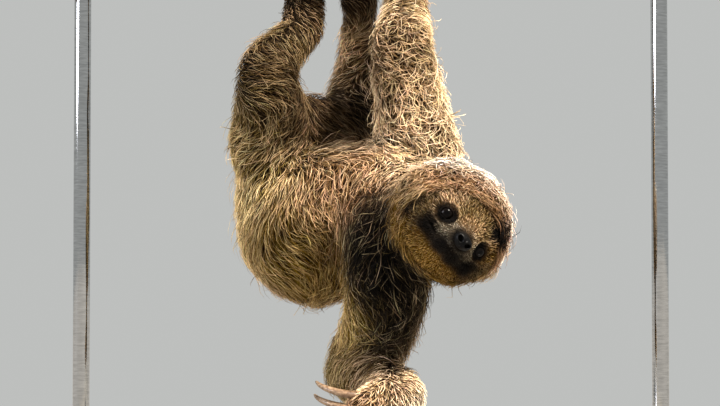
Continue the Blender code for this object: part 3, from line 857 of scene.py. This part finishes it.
def lie_of_coat(points, normals, table, parts):
    """The direction that the hair runs in at each vertex, along the skin."""
    lie = np.tile((0.0, 0.0, -1.0), (len(points), 1))
    lie += np.array(TOP_LEAN) * smooth_step(*LEVEL, np.abs(normals[:, 2]))[:, None]
    near = smooth_step(*NEAR_SIDE, normals[:, 1])
    for x, z, across, rise, reach in FLANK_LIES:
        away = np.hypot(points[:, 0] / MM - x, points[:, 2] / MM - z) / reach
        weight = LIE_PULL * near * np.exp(-(away**2))
        lie += weight[:, None] * np.array([across, 0, rise])
    on_head = parts == FLESH.index("head")
    from_nose = unit(points - np.array(NOSE))
    face = (on_head * (1 - smooth_step(*FACE_LIE_ENDS, face_angle(points))))[:, None]
    ahead = FACE_AXIS @ HEAD_AXES
    out = points - np.array(HEAD_AT)
    around = unit(np.cross(ahead, out))
    fall = -around[:, 2:]
    hood = around * fall / np.sqrt(fall**2 + HOOD_PARTING)
    over = smooth_step(*BROW, normals[:, 2:]) * HOOD_FORWARD
    head_lie = unit(hood + ahead * over + np.array([0, 0, -HOOD_DROP]))
    lie = np.where(on_head[:, None], head_lie, lie)
    lie = lie * (1 - face) + from_nose * face
    lie = tangent(lie, normals)
    for _ in range(LIE_ROUNDS):
        lie = tangent(blended(lie, table), normals)
    for side in EYES:
        height, across, rise = eye_place(points, side)
        _, across_axis, rise_axis = (np.array(a) for a in gaze_axes(side))
        outwards = across[:, None] * across_axis + rise[:, None] * rise_axis
        ring = 1 - smooth_step(*EYE_AROUND, open_share(across, rise))
        ring *= height > EYE_ZONE
        lie = tangent(lie * (1 - ring[:, None]) + unit(outwards) * ring[:, None], normals)
    swirl = wander(points, SWIRL_LENGTH) * SWIRL * (1 - (1 - FACE_SWIRL) * face[:, 0])
    return turned(lie, normals, swirl)


# ---- the coat

HEAD = ("head", "ear_left", "ear_right")
# The coat's pieces: the parts they grow on, how many thousand hairs each may have, the rings of
# three corners along a hair before its point, and the width of a clump in millimetres.
COATS = {
    "coat_face": (HEAD, 8.8, 3, 1.5),
    "coat_hood": (HEAD, 5.4, 4, 3.6),
    "coat_crown": (HEAD, 7.6, 4, 4.5),
    "coat_neck": (("neck",), 2.8, 4, 4.5),
    "coat_chest": (("trunk_chest",), 8.9, 4, 4.5),
    "coat_flank": (("trunk_hips", "tail"), 8.9, 4, 4.5),
    "coat_rump": (("trunk_hips", "tail"), 4.8, 4, 4.5),
    "coat_arm_right": (("upper_arm_right", "forearm_right", "hand_right"), 8.8, 4, 4.5),
    "coat_arm_left": (("upper_arm_left", "forearm_left", "hand_left"), 8.9, 4, 4.5),
    "coat_leg_right": (("thigh_right", "shank_right", "foot_right"), 4.0, 4, 4.5),
    "coat_leg_left": (("thigh_left", "shank_left", "foot_left"), 6.9, 4, 4.5),
}
FLANK_AWAY = 62 * MM  # how far back the near side of the hips reaches
FACE_EDGE = 47  # how far the short hair of the face reaches, in degrees from its middle
CROWN_BEHIND = 16  # where the crown begins, in millimetres forward of the head's middle
PATCH = 0.003  # width of a hair's patch on the bake map
MAP_MARGIN = 0.2  # room left at the map's edges, as a share of a patch
EYE_BALD, NOSE_BALD = 1.12, 0.94  # how far hair keeps off them, as shares of their size
# How the hairs of one place differ, each as a share of what GROOM gives: the range for all of
# them, then what guard hairs and under hairs have of it.
LENGTHS, GUARD_LENGTH, UNDER_LENGTH = (0.7, 1.2), 1.1, 0.8
DEPTHS, GUARD_DEPTH, UNDER_DEPTH = (0.55, 1.25), 1, 0.75
WIDTHS = (0.7, 1.2)
STRAY_SHARE, STRAY_RAISED, STRAY_TURN = 0.05, (1.3, 2.1), 1.8  # hairs that stand out of the rest
CURL = 0.58  # how much a hair bends at each ring, as a share of its scruff
UNDER_CURL = 0.5  # the under hairs' share of that
RISE_POWER, ROOT_BELOW = 1.7, 0.6 * MM  # how soon a hair is up, and how deep its root is set
CLUMP_RAGGED = 0.16  # how ragged the edges of clumps are
CLUMP_PULL, CLUMP_POWER = (0.05, 0.6), 1.3  # how close their points draw, and how late
TAPER, TAPER_POWER = 0.62, 1.3  # how much of its width a hair loses up to the last ring
FLATNESS = 0.75  # a hair's height as a share of its width
GUARD_SHARE = 0.42  # share of long pale guard hairs over the shorter darker ones
GUARD_GAIN, UNDER_GAIN = 1.95, 0.58  # how much lighter and darker than the marking they are, the darker under hairs partly as painted shade between the guard hairs
RICHER = 1.35  # how much stronger the colour of the darker ones is
CREAM, CREAM_SHARE = "f2e2c8", 0.22  # what the guard hairs bleach towards
PALE_HAIR, PALE_SHARE = "85765a", 0.21  # the paler hairs among black ones
BLACK_LEVELS = (0.10, 0.03)  # the brightness at which hair begins to count as black
TONE_SPREAD, HUE_SPREAD = 0.18, 0.04  # how much the hairs differ in brightness and in colour


def hair_faces(rings):
    """The corners of one hair's triangles, and each corner's place on its patch."""
    faces, places = [], []
    for ring in range(rings - 1):
        low, high = ring / rings, (ring + 1) / rings
        for j in range(3):
            a, b = ring * 3 + j, ring * 3 + (j + 1) % 3
            left, right = j / 3, (j + 1) / 3
            faces += [(a, b, b + 3), (a, b + 3, a + 3)]
            places += [((left, low), (right, low), (right, high)),
                       ((left, low), (right, high), (left, high))]
    last = (rings - 1) * 3
    for j in range(3):
        faces.append((last + j, last + (j + 1) % 3, rings * 3))
        places.append(((j / 3, 1 - 1 / rings), ((j + 1) / 3, 1 - 1 / rings), ((j + 0.5) / 3, 1)))
    faces.append((2, 1, 0))
    places.append(((0, 0), (1 / 3, 0), (1 / 6, 0.1)))
    return np.array(faces), np.array(places)


def unwrap(skin, chosen):
    """Triangles of a part of the skin: corner vertices in the skin, and places on its unwrap."""
    mesh = skin.data
    corners = triangles(mesh)
    corners = corners[chosen[corners].all(1)]
    used, local = np.unique(corners, return_inverse=True)
    part = bpy.data.meshes.new("unwrapped")
    part.from_pydata(coordinates(mesh)[used].tolist(), [], local.reshape(-1, 3).tolist())
    helper = add_object("unwrapped", part)
    pick(helper)
    bpy.ops.object.mode_set(mode="EDIT")
    bpy.ops.mesh.select_all(action="SELECT")
    bpy.ops.uv.smart_project(angle_limit=math.radians(66), island_margin=0.004)
    bpy.ops.object.mode_set(mode="OBJECT")
    places = read(part.uv_layers.active.uv, "vector", 2).reshape(-1, 3, 2).astype(float)
    low, high = places.min((0, 1)), places.max((0, 1))
    bpy.data.objects.remove(helper)
    return corners, (places - low) / (high - low)


def scatter(points, corners, per_area, most):
    """Random places on triangles: the triangle of each, and its shares of the three corners."""
    a, b, c = (points[corners[:, k]] for k in range(3))
    areas = np.linalg.norm(np.cross(b - a, c - a), axis=1) / 2
    wanted = areas * per_area[corners].mean(1) / MM**2
    wanted *= min(1, most / wanted.sum())
    count = np.floor(wanted + rng.random(len(wanted))).astype(int)
    which = np.repeat(np.arange(len(corners)), count)
    u, v = rng.random((2, len(which)))
    over = u + v > 1
    u, v = np.where(over, 1 - u, u), np.where(over, 1 - v, v)
    return which, np.stack([1 - u - v, u, v], axis=1)


def clumped(paths, roots, cell):
    """Draws the hairs of each small patch of skin together towards their points."""
    place = roots / cell + rng.random(3)
    key = np.floor(place + rng.normal(0, CLUMP_RAGGED, roots.shape)).astype(int)
    _, group = np.unique(key, axis=0, return_inverse=True)
    group = group.reshape(-1)
    size = np.bincount(group)
    pull = rng.uniform(*CLUMP_PULL, len(size))[group]
    steps = paths.shape[1]
    for k in range(1, steps):
        mean = np.stack([np.bincount(group, paths[:, k, d]) / size for d in range(3)], axis=1)
        share = (pull * (k / (steps - 1)) ** CLUMP_POWER)[:, None]
        paths[:, k] = paths[:, k] * (1 - share) + mean[group] * share
    return paths


def bald(points):
    """Where no hair grows: the open eyes, the line of the mouth and the nose pad."""
    bare = mouth_line(in_head(points)) > 0.5
    for side in EYES:
        height, across, rise = eye_place(points, side)
        bare |= (height > EYE_ZONE) & (open_share(across, rise) < EYE_BALD)
    low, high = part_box("nose")
    half_nose = np.array(high - low) / 2 * NOSE_GROWN
    return bare | (np.linalg.norm((points - np.array(NOSE)) / half_nose, axis=1) < NOSE_BALD)


def lay_hairs(roots, normals, heading, grown, guard, rings, ground):
    """Each hair's path over the skin, point by point, and which way is up at each point."""
    tree, face_normals, face_lie = ground
    count = len(roots)
    length = grown[:, LENGTH] * MM * rng.uniform(*LENGTHS, count)
    length *= np.where(guard, GUARD_LENGTH, UNDER_LENGTH)
    depth = grown[:, DEPTH] * MM * rng.uniform(*DEPTHS, count)
    depth *= np.where(guard, GUARD_DEPTH, UNDER_DEPTH)
    at, reach, raised = FLUFFED
    depth *= 1 + raised * fading(roots / MM, at, reach)
    stray = rng.random(count) < STRAY_SHARE
    depth *= np.where(stray, rng.uniform(*STRAY_RAISED, count), 1)
    turn = rng.normal(0, 1, count) * grown[:, SCRUFF] * np.where(stray, STRAY_TURN, 1)
    curl = rng.normal(0, CURL, count) * grown[:, SCRUFF] * np.where(guard, 1, UNDER_CURL)
    place, normal = roots, normals
    heading = tangent(heading, normal)
    paths = np.empty((count, rings + 1, 3))
    uprights = np.empty_like(paths)
    for k in range(rings + 1):
        rise = depth * (1 - (1 - k / rings) ** RISE_POWER) - ROOT_BELOW * (k == 0)
        paths[:, k] = place + normal * rise[:, None]
        uprights[:, k] = normal
        if k == rings:
            break
        ahead = tangent(turned(tangent(heading, normal), normal, turn + curl * (k - 1)), normal)
        found = [tree.find_nearest(p) for p in (place + ahead * length[:, None] / rings).tolist()]
        place = np.array([f[0] for f in found])
        face = np.array([f[2] for f in found])
        normal, heading = face_normals[face], face_lie[face]
    return paths, uprights


def hair_corners(paths, uprights, width):
    """Three corners round each ring of every hair, and its point."""
    along = unit(np.gradient(paths, axis=1))
    across = unit(np.cross(along, uprights))
    above = np.cross(across, along)
    count, rings = len(paths), paths.shape[1] - 1
    radius = width / 2 * rng.uniform(*WIDTHS, count)
    radius = radius[:, None] * (1 - TAPER * (np.arange(rings) / rings) ** TAPER_POWER)
    sides = []
    for j in range(3):
        angle = math.radians(90 + 120 * j)
        side = across[:, :-1] * math.cos(angle) + above[:, :-1] * math.sin(angle) * FLATNESS
        sides.append(paths[:, :-1] + side * radius[:, :, None])
    sides = np.stack(sides, axis=2).reshape(count, rings * 3, 3)
    return np.concatenate([sides, paths[:, -1:]], axis=1)


def hair_mesh(name, hair_points, root_uv, rings):
    """A mesh of closed hairs, with the patch of each one on the bake map."""
    count, per_hair = hair_points.shape[:2]
    hair, patch = hair_faces(rings)
    faces = hair[None] + (np.arange(count) * per_hair)[:, None, None]
    mesh = bpy.data.meshes.new(name)
    mesh.vertices.add(count * per_hair)
    mesh.vertices.foreach_set("co", hair_points.astype(np.float32).ravel())
    mesh.loops.add(faces.size)
    mesh.loops.foreach_set("vertex_index", faces.astype(np.int32).ravel())
    mesh.polygons.add(faces.size // 3)
    mesh.polygons.foreach_set("loop_start", np.arange(0, faces.size, 3, dtype=np.int32))
    mesh.update(calc_edges=True)
    uv = root_uv[:, None, None, :] + (patch * PATCH)[None]
    mesh.uv_layers.new(name="OFBake").uv.foreach_set("vector", uv.astype(np.float32).ravel())
    run = np.append(np.repeat(np.arange(rings) / rings, 3), 1.0)
    set_attribute(mesh, "along", "FLOAT", np.tile(run, count))
    mesh.shade_smooth()
    return mesh


def hair_tones(roots, guard, has_pale_hairs):
    """The linear colour of each hair, from the marking and painted light and shade at its root."""
    count = len(roots)
    tone = markings_and_painted_light(roots)
    dark = smooth_step(*BLACK_LEVELS, tone.mean(1))
    pale = (rng.random(count) < PALE_SHARE * dark) & has_pale_hairs
    tone = np.where(pale[:, None], linear(PALE_HAIR), tone)
    level = tone.mean(1, keepdims=True)
    greyed = level * linear(CREAM) / linear(CREAM).mean()
    bright = (tone * (1 - CREAM_SHARE) + greyed * CREAM_SHARE) * GUARD_GAIN
    rich = np.maximum(level + (tone - level) * RICHER, 0) * UNDER_GAIN
    tone = np.where(guard[:, None], bright, rich)
    spread = rng.normal(0, TONE_SPREAD, (count, 1)) + rng.normal(0, HUE_SPREAD, (count, 3))
    return tone * np.exp(spread)


def comb(name, chosen, skin, at_vertices, ground, look):
    """Grows one piece of the coat from the chosen part of the skin."""
    nodes, thousands, rings, clump = COATS[name]
    points, _, _, fields = at_vertices
    corners, places = unwrap(skin, chosen)
    which, shares = scatter(points, corners, fields[:, DENSITY], thousands * 1000)
    shares = shares[:, :, None]
    rooted = [(values[corners[which]] * shares).sum(1) for values in at_vertices]
    root_uv = (places[which] * shares).sum(1) * (1 - (1 + 2 * MAP_MARGIN) * PATCH)
    root_uv += MAP_MARGIN * PATCH
    keep = ~bald(rooted[0])
    roots, normals, heading, grown, root_uv = (rows[keep] for rows in (*rooted, root_uv))
    guard = rng.random(len(roots)) < GUARD_SHARE
    paths, uprights = lay_hairs(roots, unit(normals), heading, grown, guard, rings, ground)
    paths = clumped(paths, roots, clump * MM)
    hair_points = hair_corners(paths, uprights, grown[:, WIDTH] * MM)
    mesh = hair_mesh(name, hair_points, root_uv, rings)
    tones = hair_tones(roots, guard, nodes != HEAD)
    set_marking_and_painted_light(mesh, np.repeat(tones, hair_points.shape[1], axis=0))
    hand_over(add_object(name, mesh), name, "coat", look)
    print(f"{name}: {len(roots)} hairs, {len(mesh.polygons)} triangles")


def make_coat(skin, table, parts, fields):
    """Grows the whole coat, piece by piece."""
    mesh = skin.data
    points = coordinates(mesh)
    normals = unit(soften(vertex_normals(mesh), table, 3))
    lie = lie_of_coat(points, normals, table, parts)
    corners = triangles(mesh)
    tree = BVHTree.FromPolygons(points.tolist(), corners.tolist())
    ground = (tree, unit(normals[corners].mean(1)), lie[corners].mean(1))
    look = coat_look()
    far = points[:, 1] > FLANK_AWAY
    behind = in_head(points)[:, 0] < CROWN_BEHIND
    face = (face_angle(points) < FACE_EDGE) & ~behind
    shares = {"coat_flank": ~far, "coat_rump": far, "coat_face": face,
              "coat_hood": ~face & ~behind, "coat_crown": behind}
    for name, (nodes, *_) in COATS.items():
        chosen = np.isin(parts, [FLESH.index(node) for node in nodes])
        chosen &= shares.get(name, True)
        chosen |= chosen[table].any(1)
        comb(name, chosen, skin, (points, normals, lie, fields), ground, look)


# ---- eyes, nose and claws

EYE_BULGE = 0.05  # how far the front swells over the ball, as a share of its radius
BULGE_ENDS = (20, 48)  # and between which angles from the gaze that fades out, in degrees


def make_eye(side, look):
    """An eyeball whose front bulges a little over the iris."""
    ahead = gaze_axes(side)[0]
    eye = start_from(
        bpy.ops.mesh.primitive_uv_sphere_add, segments=32, ring_count=24, radius=EYE_RADIUS,
        location=EYES[side], rotation=ahead.to_track_quat("Z", "Y").to_euler(),
    )
    points = coordinates(eye.data)
    away = points - np.array(EYES[side])
    angle = np.degrees(np.arccos(np.clip(unit(away) @ np.array(ahead), -1, 1)))
    swell = 1 + EYE_BULGE * (1 - smooth_step(*BULGE_ENDS, angle))
    set_coordinates(eye.data, np.array(EYES[side]) + away * swell[:, None])
    set_attribute(eye.data, "gaze", "FLOAT", angle / 90)
    eye.data.shade_smooth()
    hand_over(eye, f"eyeball_{side}", "eye", look, f"eye_{side}")


NOSTRIL_AT = (3.2, 3.5, -0.9)  # forward, sideways and up of the nose's middle, in millimetres
NOSTRIL_HALF = (2.2, 1.8)  # half its width and half its height
NOSTRIL_SLANT = 0.35  # how steeply it rises outwards
NOSTRIL_WALL = (0.45, 1.15)  # where its wall begins and ends, as shares of its half size
RIM_AT, RIM_WIDTH = 1.5, 0.4  # the swollen rim round it, as shares of that
GROOVE_WIDTH, GROOVE_TOP = 0.55, 3.0  # of the groove between them, in millimetres
NOSTRIL_DEPTH, RIM_HEIGHT, GROOVE_DEPTH = 3.4, 0.25, 0.6
NOSE_FRONT = (0.5, 2.5)  # between which the pad's front sets in, forward of its middle


def make_nose():
    """The nose pad: a blunt wedge with two deep nostrils and a groove between them."""
    nose = node_copy("nose")
    bake_modifier(nose, "SUBSURF", levels=3, render_levels=3)
    points = np.array(NOSE) + (coordinates(nose.data) - np.array(NOSE)) * NOSE_GROWN
    local = in_head(points) - in_head(np.array([NOSE]))
    side = np.abs(local[:, 1]) - NOSTRIL_AT[1]
    rise = local[:, 2] - NOSTRIL_AT[2] - NOSTRIL_SLANT * side
    away = np.hypot(side / NOSTRIL_HALF[0], rise / NOSTRIL_HALF[1])
    pit = NOSTRIL_DEPTH * (1 - smooth_step(*NOSTRIL_WALL, away))
    rim = RIM_HEIGHT * np.exp(-((away - RIM_AT) / RIM_WIDTH) ** 2)
    groove = np.exp(-((local[:, 1] / GROOVE_WIDTH) ** 2)) * smooth_step(GROOVE_TOP, 0, local[:, 2])
    inwards = (pit - rim + GROOVE_DEPTH * groove) * smooth_step(*NOSE_FRONT, local[:, 0])
    set_coordinates(nose.data, points - np.array(FORWARD) * (inwards * MM)[:, None])
    nose.data.shade_smooth()
    hand_over(nose, "nose_pad", "nose", nose_look(), "nose")


def make_claw(node, look):
    """A horn hook, rounded from the plain one, with its root told from its tip."""
    claw = node_copy(node)
    bake_modifier(claw, "SUBSURF", levels=2, render_levels=2)
    points = coordinates(claw.data)
    limb = node[len("claw_"):].rsplit("_", 1)[0]
    root = points[np.argmin(np.linalg.norm(points - np.array(middle(limb)), axis=1))]
    away = np.linalg.norm(points - root, axis=1)
    set_attribute(claw.data, "along", "FLOAT", away / away.max())
    claw.data.shade_smooth()
    hand_over(claw, node.replace("claw_", "horn_"), "claw", look, node)


# ---- perch and stand

BRANCH_RINGS = 120
BARK_SPARE, SAWN_SPARE = 0.6 * MM, 4 * MM  # how much thinner and shorter it starts than the CAD's
BARK_THICK, CHAMFER, END_RING = 1.6 * MM, 0.5 * MM, 4 * MM  # how the sawn ends are cut
BARK_RELIEF = 0.9 * MM
BARK_GRAIN = 0.25  # how much slower the relief changes along the branch
BARK_WAVES = ((22, 0.5), (9, 0.4), (5, 0.35))  # their lengths in millimetres, and shares
RELIEF_RANGE = (-2.4 * MM, 2.6 * MM)
BARK_BEGINS = (0.6, 0.95)  # on the sawn ends, as shares of the radius
KNOTS = ((-150, 60), (95, 200), (178, -40))  # place along the branch in mm, degrees round it
KNOT_SIZE = (8, 32)  # in the same measures
KNOT_RISE, KNOT_DIP, DIP_SIZE = 2.6, 2.2, 0.4  # in millimetres, and the dip's share of its size
END_FACING = 0.9  # how squarely a face looks along the piece to count as its end
BARK_SHARP_FROM, STAND_SHARP_FROM = math.radians(50), math.radians(40)


def looking(target, along):
    """Which faces look along a direction, either way."""
    return [abs(polygon.normal.dot(along)) > END_FACING for polygon in target.data.polygons]


def make_branch():
    """A cut length of branch: barked, knotted and slightly uneven, with sawn ends."""
    low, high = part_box("perch_branch")
    at, radius = (low + high) / 2, (high.y - low.y) / 2 - BARK_SPARE
    length = (high.x - low.x) / math.cos(BRANCH_SLOPE) - SAWN_SPARE
    along = Vector((math.cos(BRANCH_SLOPE), 0, math.sin(BRANCH_SLOPE)))
    branch = start_from(
        bpy.ops.mesh.primitive_cylinder_add, vertices=72, radius=radius, depth=length,
        location=at, rotation=(0, math.pi / 2 - BRANCH_SLOPE, 0),
    )
    bpy.ops.object.mode_set(mode="EDIT")
    for k in range(1, BRANCH_RINGS):
        bpy.ops.mesh.select_all(action="SELECT")
        cut_at = at + along * length * (k / BRANCH_RINGS - 0.5)
        bpy.ops.mesh.bisect(plane_co=cut_at, plane_no=along)
    bpy.ops.object.mode_set(mode="OBJECT")
    select_faces(branch, looking(branch, along))
    bpy.ops.mesh.inset(thickness=BARK_THICK, depth=CHAMFER, use_individual=True)
    bpy.ops.mesh.inset(thickness=END_RING, use_individual=True)
    bpy.ops.object.mode_set(mode="OBJECT")

    points = coordinates(branch.data)
    out = points - np.array(at)
    run = out @ np.array(along)
    out = out - run[:, None] * np.array(along)
    reach = np.linalg.norm(out, axis=1)
    out = unit(out)
    angle = np.degrees(np.arctan2(out[:, 2], -out[:, 1]))
    ridged = points * (BARK_GRAIN, 1, 1)
    waves = [wander(ridged, size * MM) * share for size, share in BARK_WAVES]
    relief = sum(waves) * BARK_RELIEF
    for place, where in KNOTS:
        around = (angle - where + 180) % 360 - 180
        off = np.hypot((run / MM - place) / KNOT_SIZE[0], around / KNOT_SIZE[1])
        dip = KNOT_DIP * np.exp(-((off / DIP_SIZE) ** 2))
        relief += (KNOT_RISE * np.exp(-(off**2)) - dip) * MM
    on_bark = smooth_step(*BARK_BEGINS, reach / radius)
    relief = np.clip(relief, *RELIEF_RANGE) * on_bark
    set_coordinates(branch.data, points + out * relief[:, None])
    hand_over(branch, "barked_branch", "bark", bark_look(), "perch_branch")
    branch.data.materials.append(end_grain_look())
    for polygon, at_end in zip(branch.data.polygons, looking(branch, along)):
        polygon.material_index = int(at_end)
    branch.data.shade_smooth()
    branch.data.set_sharp_from_angle(angle=BARK_SHARP_FROM)


BOARD_EDGE, ROD_EDGE = 2.4 * MM, 0.6 * MM


def ease_edges(piece, width, steps):
    """Bevels the edges of the selected faces and shades the piece smooth up to its edges."""
    bpy.ops.mesh.bevel(offset=width, segments=steps, affect="EDGES")
    bpy.ops.object.mode_set(mode="OBJECT")
    pick(piece)
    bpy.ops.object.shade_smooth_by_angle(angle=STAND_SHARP_FROM)


def make_stand():
    """The base board with its rounded edge, and the two rods with their ends eased."""
    low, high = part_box("stand_base")
    board = start_from(
        bpy.ops.mesh.primitive_cube_add, size=1, location=(low + high) / 2, scale=high - low,
    )
    select_faces(board, [True] * len(board.data.polygons))
    ease_edges(board, BOARD_EDGE, 4)
    hand_over(board, "display_base", "stand_base", base_look(), "stand_base")
    steel = rod_look()
    for side in ("left", "right"):
        low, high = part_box(f"stand_rod_{side}")
        rod = start_from(
            bpy.ops.mesh.primitive_cylinder_add, vertices=64, radius=(high.x - low.x) / 2,
            depth=high.z - low.z, location=(low + high) / 2,
        )
        select_faces(rod, looking(rod, Vector((0, 0, 1))))
        ease_edges(rod, ROD_EDGE, 2)
        hand_over(rod, f"display_rod_{side}", "stand_rod", steel, f"stand_rod_{side}")


# ---- studio

CAMERA_TARGET = Vector((-7.7, 0, 208)) * MM
CAMERA_DISTANCE = 2.2
CAMERA_RISE = math.radians(-3)  # the camera stands a little low and looks up
SEEN_WIDTH = 0.504  # width of what the camera sees at the target
SENSOR = 36.0
FLOOR_WIDE, FLOOR_BELOW = 10.0, 0.5 * MM
SKY = ("e4e6e4", 0.66)
# Each sun: where it stands, how soft it is in degrees, its strength and its colour.
SUNS = {
    "key": ((0.47, -0.34, 0.81), 8, 8.8, "fff4e6"),
    "side": ((-0.84, -0.30, 0.45), 30, 2.4, "f4f5ff"),
}


def make_studio():
    """The floor, the sky, two suns and the camera."""
    floor = start_from(bpy.ops.mesh.primitive_plane_add, size=FLOOR_WIDE,
                       location=(0, 0, CAD_BOX[0].z - FLOOR_BELOW))
    floor.name = "studio_floor"
    floor.data.materials.append(floor_look())

    scene = bpy.context.scene
    scene.view_settings.view_transform = "Standard"
    scene.world = bpy.data.worlds.new("studio")
    scene.world.use_nodes = True
    sky = scene.world.node_tree.nodes["Background"].inputs
    sky["Color"].default_value = (*linear(SKY[0]), 1)
    sky["Strength"].default_value = SKY[1]
    for name, (direction, softness, strength, colour) in SUNS.items():
        sun = bpy.data.lights.new(name, "SUN")
        sun.angle = math.radians(softness)
        sun.energy = strength
        sun.color = linear(colour)
        light = add_object(name, sun)
        light.rotation_euler = Vector(direction).to_track_quat("Z", "Y").to_euler()

    data = bpy.data.cameras.new("camera")
    data.sensor_width = SENSOR
    data.lens = SENSOR * CAMERA_DISTANCE / SEEN_WIDTH
    camera = add_object("camera", data)
    back = Vector((0, -math.cos(CAMERA_RISE), math.sin(CAMERA_RISE)))
    camera.location = CAMERA_TARGET + back * CAMERA_DISTANCE
    camera.rotation_euler = (math.pi / 2 - CAMERA_RISE, 0, 0)
    scene.camera = camera


# ---- all of it

make_studio()
make_stand()
make_branch()
eye_surface, horn = eye_look(), claw_look()
for eye_side in EYES:
    make_eye(eye_side, eye_surface)
make_nose()
for claw_node in CLAWS:
    make_claw(claw_node, horn)
make_coat(*make_skin())
